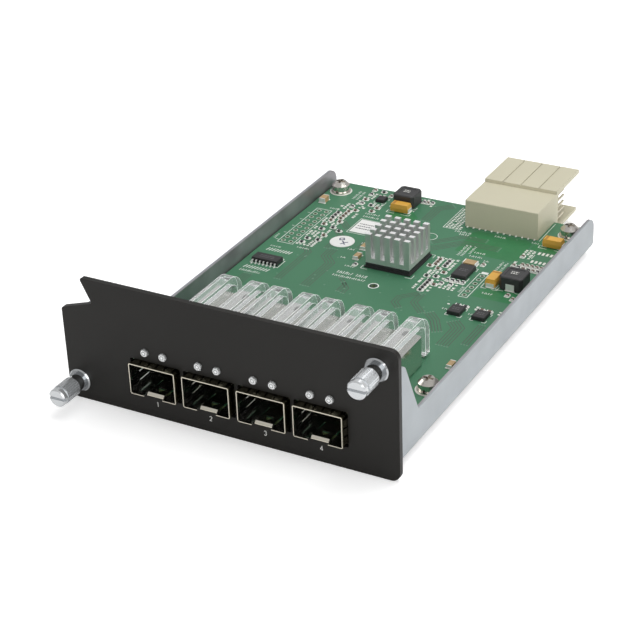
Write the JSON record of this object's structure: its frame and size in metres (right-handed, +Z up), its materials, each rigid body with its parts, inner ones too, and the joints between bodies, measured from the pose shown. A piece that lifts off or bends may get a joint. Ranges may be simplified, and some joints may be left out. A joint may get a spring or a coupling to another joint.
{
  "type": "switch line card",
  "caption": "Plug-in switch line card: port cages with light pipes behind a steel panel, circuit board on a folded tray, backplane connector and captive thumbscrews.",
  "frame": {"origin": "middle of the object's bounding box in X and Y, on the level of the panel's lower edge", "axes": "+X to the right along the panel seen from its front, +Y into the chassis towards the backplane connector, +Z up"},
  "size_m": [0.0988, 0.1692, 0.0369],
  "materials": {
    "panel_paint": "fine textured charcoal powder coat, satin",
    "tray_zinc": "zinc plated sheet, smooth satin",
    "board_laminate": "green solder mask over laminate, semi-gloss",
    "zinc_steel": "zinc plated, satin",
    "screw_nickel": "nickel plated, bright",
    "cage_nickel": "bright nickel plate on thin sheet",
    "gasket_metal": "bright tin plate on spring sheet",
    "socket_plastic": "black moulded",
    "gold_contact": "gold plated",
    "light_pipe_clear": "clear moulded polycarbonate, polished",
    "light_white": "white body with clear lens",
    "plug_plastic": "cream moulded, satin",
    "chip_mould": "black moulding compound, matt",
    "thermal_pad_grey": "grey gap filler",
    "heatsink_aluminium": "bright natural aluminium",
    "tin_terminal": "bright tin",
    "inductor_mould": "dark grey pressed powder",
    "tantalum_mould": "amber moulding compound",
    "ceramic_tan": "tan fired ceramic",
    "resistor_black": "black glaze on white ceramic",
    "label_paper": "white, semi-gloss",
    "thumbscrew_nickel": "nickel plated, bright",
    "stem_steel": "bright steel"
  },
  "bodies": {
    "card": {"backplane_plug": "plug_plastic", "board_label": "label_paper", "board_screws": "screw_nickel", "board_sticker": "label_paper", "carrier_tray": "tray_zinc", "ceramic_capacitors": "ceramic_tan", "chip_capacitors": "ceramic_tan", "chip_resistors": "resistor_black", "circuit_board": "board_laminate", "controller_chip": "chip_mould", "driver_chip_1": "chip_mould", "driver_chip_2": "chip_mould", "finger_gasket_1": "gasket_metal", "finger_gasket_2": "gasket_metal", "finger_gasket_3": "gasket_metal", "finger_gasket_4": "gasket_metal", "flat_washers": "screw_nickel", "front_panel": "panel_paint", "heatsink": "heatsink_aluminium", "inductor_1": "inductor_mould", "inductor_2": "inductor_mould", "left_ferrule": "thumbscrew_nickel", "left_spring": "stem_steel", "light_pipe_1": "light_pipe_clear", "light_pipe_2": "light_pipe_clear", "light_pipe_3": "light_pipe_clear", "light_pipe_4": "light_pipe_clear", "lock_washers": "screw_nickel", "logic_chip": "chip_mould", "logic_leads": "tin_terminal", "panel_nuts": "zinc_steel", "panel_studs": "zinc_steel", "part_terminals": "tin_terminal", "plug_pins": "gold_contact", "port_cage_1": "cage_nickel", "port_cage_2": "cage_nickel", "port_cage_3": "cage_nickel", "port_cage_4": "cage_nickel", "port_socket_1": "socket_plastic", "port_socket_2": "socket_plastic", "port_socket_3": "socket_plastic", "port_socket_4": "socket_plastic", "regulator_chip": "chip_mould", "right_ferrule": "thumbscrew_nickel", "right_spring": "stem_steel", "socket_blades": "gold_contact", "standoffs": "zinc_steel", "status_lights": "light_white", "switch_chip": "chip_mould", "tantalum_capacitor_1": "tantalum_mould", "tantalum_capacitor_2": "tantalum_mould", "tantalum_capacitor_3": "tantalum_mould", "thermal_pad": "thermal_pad_grey"},
    "left_ring": {"left_retaining_ring": "stem_steel"},
    "left_thumbscrew": {"left_knob": "thumbscrew_nickel", "left_stem": "stem_steel"},
    "right_ring": {"right_retaining_ring": "stem_steel"},
    "right_thumbscrew": {"right_knob": "thumbscrew_nickel", "right_stem": "stem_steel"}
  },
  "joints": [
    {"name": "left_screw_push", "type": "slide", "parent": "card", "child": "left_ring", "axis": [0, 1, 0], "range_m": [0, 0.003], "stiffness_N_per_m": 400, "springref_m": -0.002, "deforming": ["left_spring"]},
    {"name": "left_screw_turn", "type": "hinge", "parent": "left_ring", "child": "left_thumbscrew", "pos_m": [-0.0456, -0.07345, 0.0057], "axis": [0, 1, 0], "continuous": true},
    {"name": "right_screw_push", "type": "slide", "parent": "card", "child": "right_ring", "axis": [0, 1, 0], "range_m": [0, 0.003], "stiffness_N_per_m": 400, "springref_m": -0.002, "deforming": ["right_spring"]},
    {"name": "right_screw_turn", "type": "hinge", "parent": "right_ring", "child": "right_thumbscrew", "pos_m": [0.0436, -0.07345, 0.031], "axis": [0, 1, 0], "continuous": true}
  ]
}
